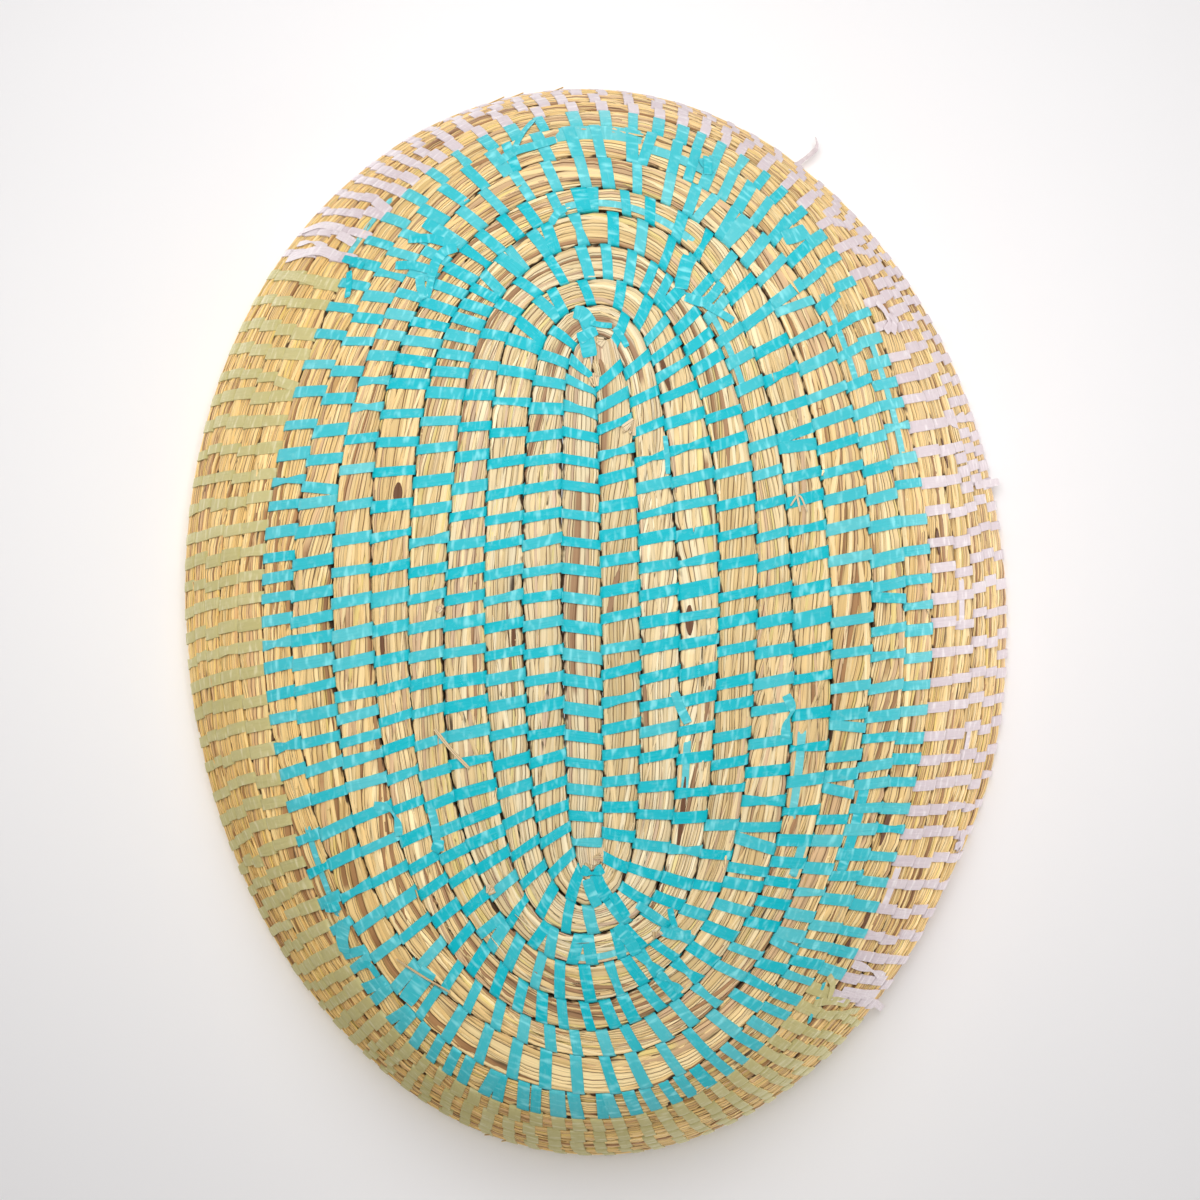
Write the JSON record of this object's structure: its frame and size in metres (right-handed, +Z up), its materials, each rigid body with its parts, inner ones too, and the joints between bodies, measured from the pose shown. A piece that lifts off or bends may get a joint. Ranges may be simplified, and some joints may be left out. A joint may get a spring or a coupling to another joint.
{
  "type": "coiled oval basket",
  "caption": "Shallow oval coiled grass basket with a flat base and flared wall, bound in coloured strips, for bread, fruit or small things.",
  "frame": {"origin": "underside of the base, at the middle of the straight bundle that the coil starts from", "axes": "+Z up out of the opening, X along the long axis of the oval, Y across it"},
  "size_m": [0.3394, 0.2615, 0.0643],
  "materials": {
    "grass": "dry grass stems, satin",
    "cyan_strip": "satin strip, worn paler on its crests",
    "olive_strip": "satin, slightly see-through strip",
    "lilac_strip": "satin strip"
  },
  "bodies": {
    "root": {"start_bundle": "grass", "base_coil": "grass", "shoulder_coil": "grass", "lower_wall_coil": "grass", "upper_wall_coil": "grass", "rim_coil": "grass", "cyan_binding_1": "cyan_strip", "cyan_binding_2": "cyan_strip", "cyan_binding_3": "cyan_strip", "cyan_binding_4": "cyan_strip", "cyan_binding_5": "cyan_strip", "cyan_binding_6": "cyan_strip", "cyan_binding_7": "cyan_strip", "cyan_binding_8": "cyan_strip", "olive_binding_1": "olive_strip", "olive_binding_2": "olive_strip", "olive_binding_3": "olive_strip", "olive_binding_4": "olive_strip", "olive_binding_5": "olive_strip", "lilac_binding_1": "lilac_strip", "lilac_binding_2": "lilac_strip", "lilac_binding_3": "lilac_strip", "lilac_binding_4": "lilac_strip", "lilac_binding_5": "lilac_strip"}
  },
  "joints": []
}
